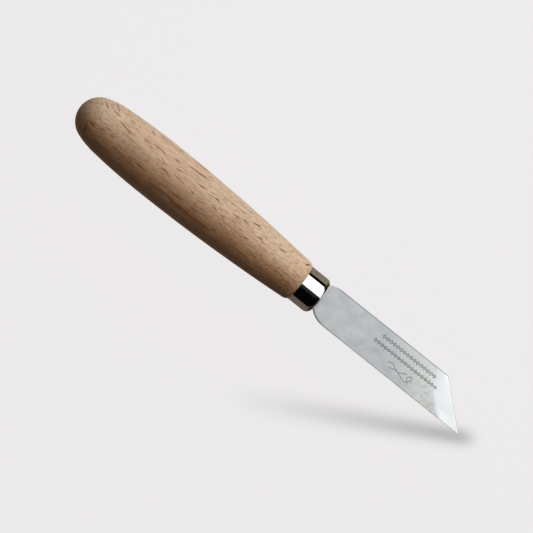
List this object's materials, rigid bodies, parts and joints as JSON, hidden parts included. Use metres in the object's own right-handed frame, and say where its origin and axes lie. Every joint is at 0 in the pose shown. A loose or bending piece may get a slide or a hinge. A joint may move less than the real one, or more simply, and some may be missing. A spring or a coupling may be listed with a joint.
{
  "type": "lino cutter",
  "caption": "Hand knife for cutting lino and book board: flat blade with an oblique edge, drawn metal ferrule and a turned bulb-shaped wooden handle.",
  "frame": {"origin": "middle of the knife's bounding box, at the lowest point of the handle's belly", "axes": "+X along the knife from the butt to the cutting tip, +Z square to the blade's flat faces, +Y towards the heel corner of the oblique edge, so the tip is on the -Y side"},
  "size_m": [0.1994, 0.0242, 0.0242],
  "materials": {
    "beech": "sanded beech with a thin oil finish",
    "nickel_plate": "bright nickel plate with light handling marks",
    "tool_steel": "satin ground steel, brighter ground bevel",
    "resin": "set amber resin, hidden"
  },
  "bodies": {
    "root": {"handle": "beech", "ferrule": "nickel_plate", "blade": "tool_steel", "tang_resin": "resin"}
  },
  "joints": []
}
